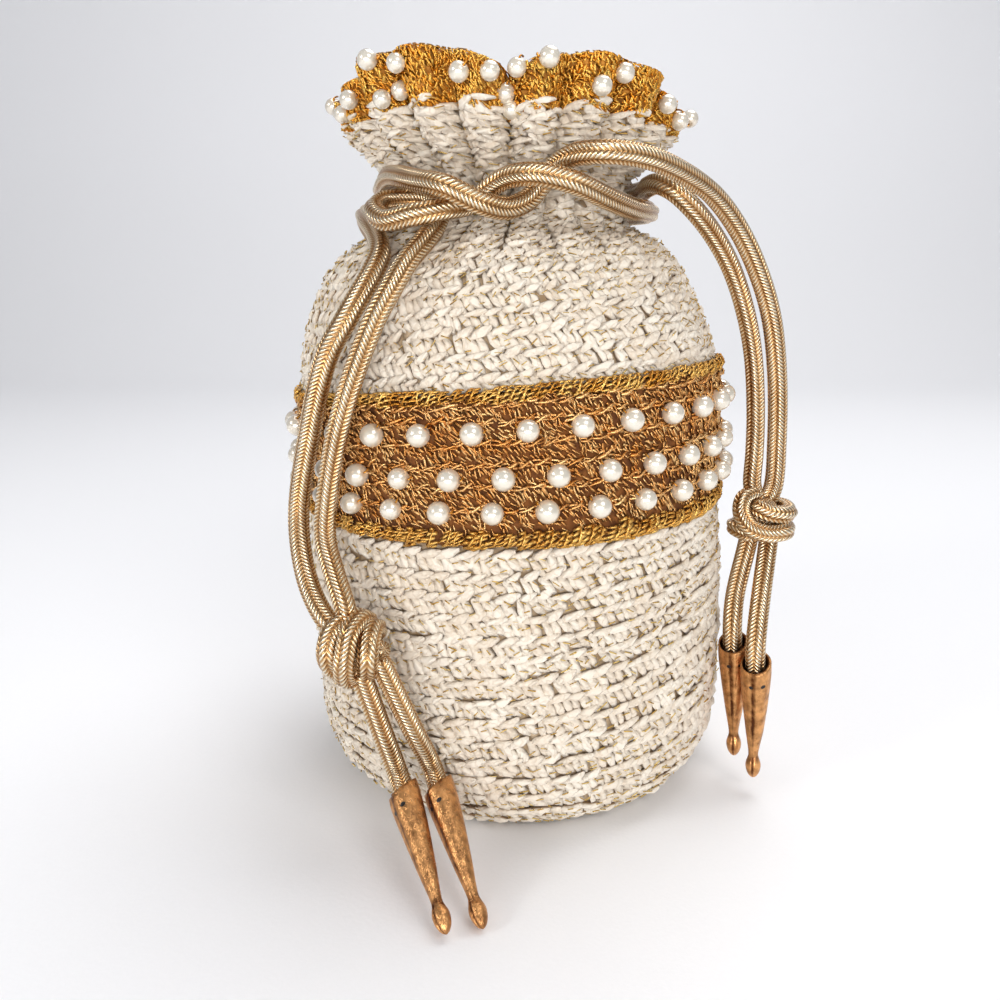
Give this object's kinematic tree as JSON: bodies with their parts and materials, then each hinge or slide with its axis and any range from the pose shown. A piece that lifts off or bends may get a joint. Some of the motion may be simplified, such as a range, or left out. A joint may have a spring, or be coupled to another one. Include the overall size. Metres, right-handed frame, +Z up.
{
  "type": "drawstring potli bag",
  "caption": "Crocheted drawstring pouch that stands on a flat base, with a pearl band round its belly, a neck gathered by braided cords with metal tips, and a pearl ruffle at its mouth.",
  "frame": {"origin": "on the surface the pouch stands on, under the middle of its body", "axes": "+Z up out of the mouth, -Y towards the front with the drawn bow of cords, +X to the right"},
  "size_m": [0.1549, 0.1679, 0.2069],
  "materials": {
    "cream_crochet": "matte",
    "gold_crochet": "metallic thread",
    "pearl": "pearl",
    "braided_cord": "metallic braid",
    "copper_tip": "satin"
  },
  "bodies": {
    "root": {"lower_body": "cream_crochet", "pearl_band": "gold_crochet", "upper_body": "cream_crochet", "ruffle": "gold_crochet", "cord_left": "braided_cord", "cord_right": "braided_cord", "knot_left": "braided_cord", "knot_right": "braided_cord", "tail_left_1": "braided_cord", "tail_left_2": "braided_cord", "tail_right_1": "braided_cord", "tail_right_2": "braided_cord", "tip_left_1": "copper_tip", "tip_left_2": "copper_tip", "tip_right_1": "copper_tip", "tip_right_2": "copper_tip"}
  },
  "joints": []
}
